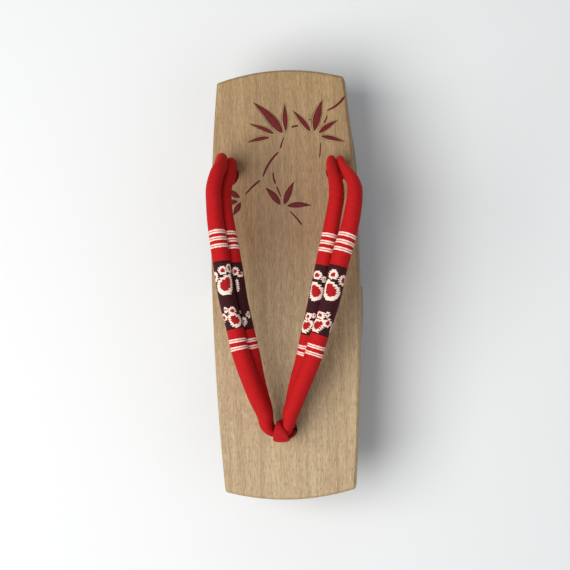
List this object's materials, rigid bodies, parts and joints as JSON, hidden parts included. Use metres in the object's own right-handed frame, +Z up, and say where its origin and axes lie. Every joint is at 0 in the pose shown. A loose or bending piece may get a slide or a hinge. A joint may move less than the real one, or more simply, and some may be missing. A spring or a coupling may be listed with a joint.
{
  "type": "geta sandal",
  "caption": "Wooden geta sandal with a foot board on teeth cut from one block, a split padded strap and a front loop.",
  "frame": {"origin": "middle of the front tooth's floor face, on the board's centreline", "axes": "+Z up, -Y towards the toe, +Y towards the heel, +X towards the inner side of the foot"},
  "size_m": [0.0871, 0.24, 0.0907],
  "materials": {
    "wood": "planed and waxed paulownia, straight grain",
    "strap_cloth": "red plain weave over padding, woven bands",
    "loop_cloth": "red plain weave, gathered",
    "cord": "twisted hemp cord"
  },
  "bodies": {
    "root": {"wooden_sole": "wood", "strap": "strap_cloth", "front_loop": "loop_cloth", "front_knot": "cord", "rear_knot_left": "cord", "rear_knot_right": "cord"}
  },
  "joints": []
}
